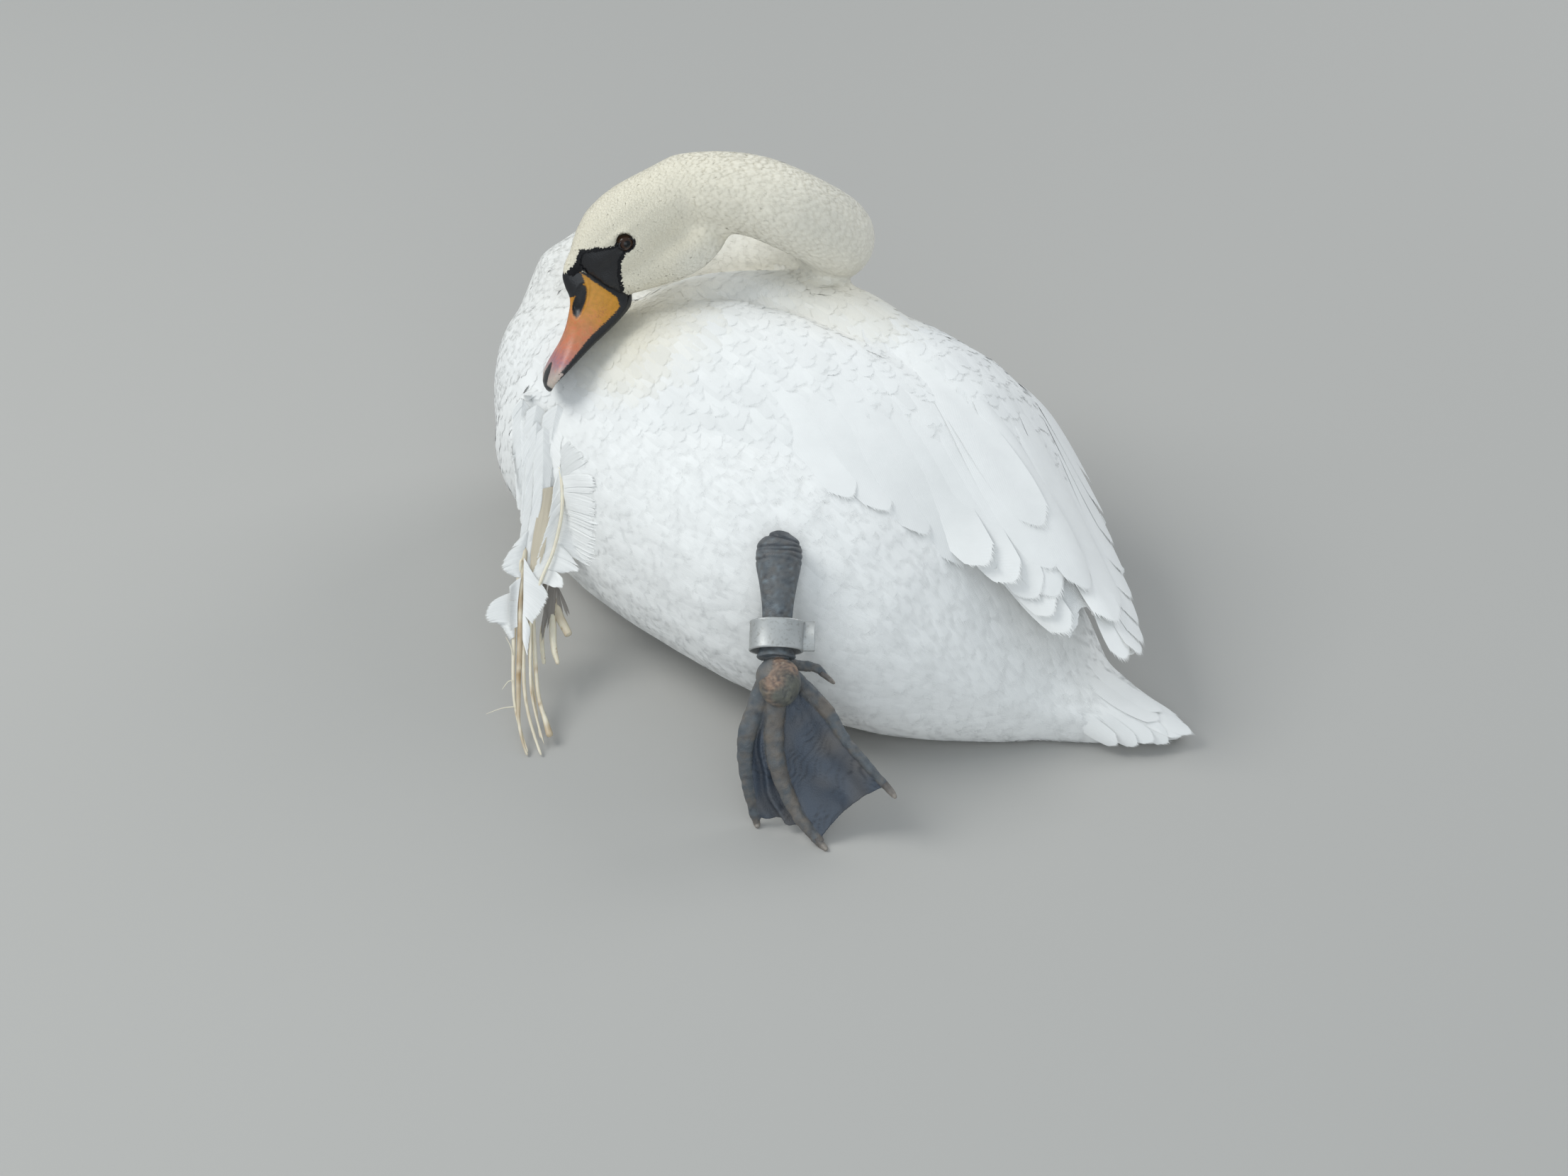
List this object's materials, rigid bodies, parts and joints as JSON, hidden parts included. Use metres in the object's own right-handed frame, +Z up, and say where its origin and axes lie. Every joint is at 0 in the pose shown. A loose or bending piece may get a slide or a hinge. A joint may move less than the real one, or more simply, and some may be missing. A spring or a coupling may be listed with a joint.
{
  "type": "mute swan",
  "caption": "Life-size mute swan resting on its belly, neck curled back over the shoulder, one leg stretched to the side with a leg ring.",
  "frame": {"origin": "on the floor, on the belly's resting flat, under the middle of the back", "axes": "-X ahead of the bird (breast), +X its tail, -Y its left side, +Z up"},
  "size_m": [0.652, 0.4978, 0.3732],
  "materials": {
    "white_plumage": "matt overlapping white feathers, faintly blue in the shade",
    "cream_plumage": "short dense feathers stained cream on the neck and head",
    "quill": "frayed white vanes on bare cream and brown shafts",
    "bill": "satin orange horn, black nostril, edge, nail, lores and knob",
    "eye": "dark brown, wet gloss",
    "leg_skin": "slate grey scaled skin, dry and wrinkled, browner at the joints",
    "ring_metal": "worn light alloy, bare"
  },
  "bodies": {
    "root": {"trunk": "white_plumage", "tail": "white_plumage", "wing_left": "white_plumage", "wing_right": "white_plumage", "wing_left_hand": "white_plumage", "wing_left_primaries": "quill", "neck_lower": "cream_plumage", "neck_middle": "cream_plumage", "neck_upper": "cream_plumage", "head": "cream_plumage", "eye_left": "eye", "eye_right": "eye", "bill_upper": "bill", "bill_lower": "bill", "leg_left": "leg_skin", "foot_left": "leg_skin", "leg_right": "leg_skin", "foot_right": "leg_skin", "leg_ring": "ring_metal"}
  },
  "joints": []
}
